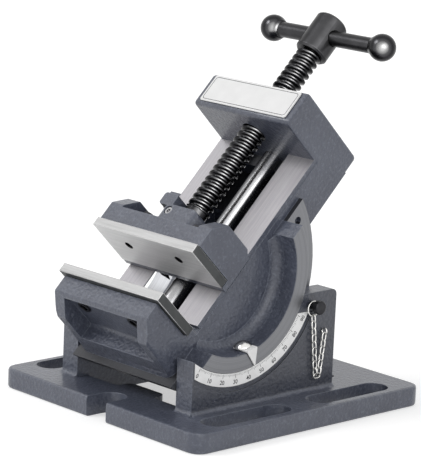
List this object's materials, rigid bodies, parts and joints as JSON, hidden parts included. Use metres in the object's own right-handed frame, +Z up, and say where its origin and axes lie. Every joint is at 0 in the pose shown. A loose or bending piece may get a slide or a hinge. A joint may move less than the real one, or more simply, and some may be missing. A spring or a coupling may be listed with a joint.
{
  "type": "tilting machine vise",
  "caption": "Tilting machine vise: two plated jaws and a screw on a drum-shaped body that rolls in a slotted cradle base with a degree dial and lock pin.",
  "frame": {"origin": "on the underside of the base plate, under the centre of the whole vise's footprint, 1.5 mm behind the plate's own centre", "axes": "+Z up, +Y to the back (where the screw's handle end leans), +X to the side with the dial and lock pin"},
  "size_m": [0.2, 0.213, 0.2609],
  "materials": {
    "enamel": "dark blue-grey hammered enamel on a sand casting",
    "ground_steel": "ground, with fine lines along the jaw",
    "polished_rod": "polished",
    "black_oxide": "black oxide with an oily sheen",
    "satin_black": "satin, dark",
    "polished_ball": "polished, dark",
    "zinc": "bright zinc plate",
    "dial": "white, satin"
  },
  "bodies": {
    "base": {"base": "enamel", "dial_strip": "dial", "pin_ring": "zinc", "chain_link_01": "zinc", "chain_link_02": "zinc", "chain_link_03": "zinc", "chain_link_04": "zinc", "chain_link_05": "zinc", "chain_link_06": "zinc", "chain_link_07": "zinc", "chain_link_08": "zinc", "chain_link_09": "zinc", "chain_link_10": "zinc", "chain_link_11": "zinc", "chain_link_12": "zinc", "chain_link_13": "zinc", "chain_link_14": "zinc", "chain_link_15": "zinc", "chain_link_16": "zinc", "chain_eye": "zinc"},
    "tilting_body": {"vise_body": "enamel", "name_plate": "dial", "fixed_jaw_plate": "ground_steel", "fixed_plate_screw_left": "black_oxide", "fixed_plate_screw_right": "black_oxide", "guide_rod": "polished_rod", "pointer": "dial", "pointer_screw": "zinc"},
    "sliding_jaw": {"movable_jaw": "enamel", "movable_jaw_plate": "ground_steel", "movable_plate_screw_left": "black_oxide", "movable_plate_screw_right": "black_oxide", "spindle_retainer": "polished_rod", "keeper_screw": "zinc"},
    "screw": {"spindle": "black_oxide", "handle_hub": "satin_black"},
    "handle": {"handle_bar": "satin_black", "handle_ball_left": "polished_ball", "handle_ball_right": "polished_ball"},
    "lock": {"lock_pin": "black_oxide"}
  },
  "joints": [
    {"name": "body_tilt", "type": "hinge", "parent": "base", "child": "tilting_body", "pos_m": [0, -0.0425, 0.1009], "axis": [1, 0, 0], "range_deg": [-45, 45]},
    {"name": "jaw_slide", "type": "slide", "parent": "tilting_body", "child": "sliding_jaw", "axis": [0, 0.7071, 0.7071], "range_m": [-0.0333, 0.066]},
    {"name": "screw_spin", "type": "hinge", "parent": "sliding_jaw", "child": "screw", "pos_m": [0, 0.02269, 0.17713], "axis": [0, 0.7071, 0.7071], "range_deg": [-2400, 4755]},
    {"name": "bar_slide", "type": "slide", "parent": "screw", "child": "handle", "axis": [1, 0, 0], "range_m": [-0.0354, 0.0269]},
    {"name": "pin_slide", "type": "slide", "parent": "base", "child": "lock", "axis": [1, 0, 0], "range_m": [-0.0025, 0.014]}
  ],
  "couplings": [
    {"joint": "screw_spin", "follows": "jaw_slide", "rad_per_m": 1256.6}
  ]
}
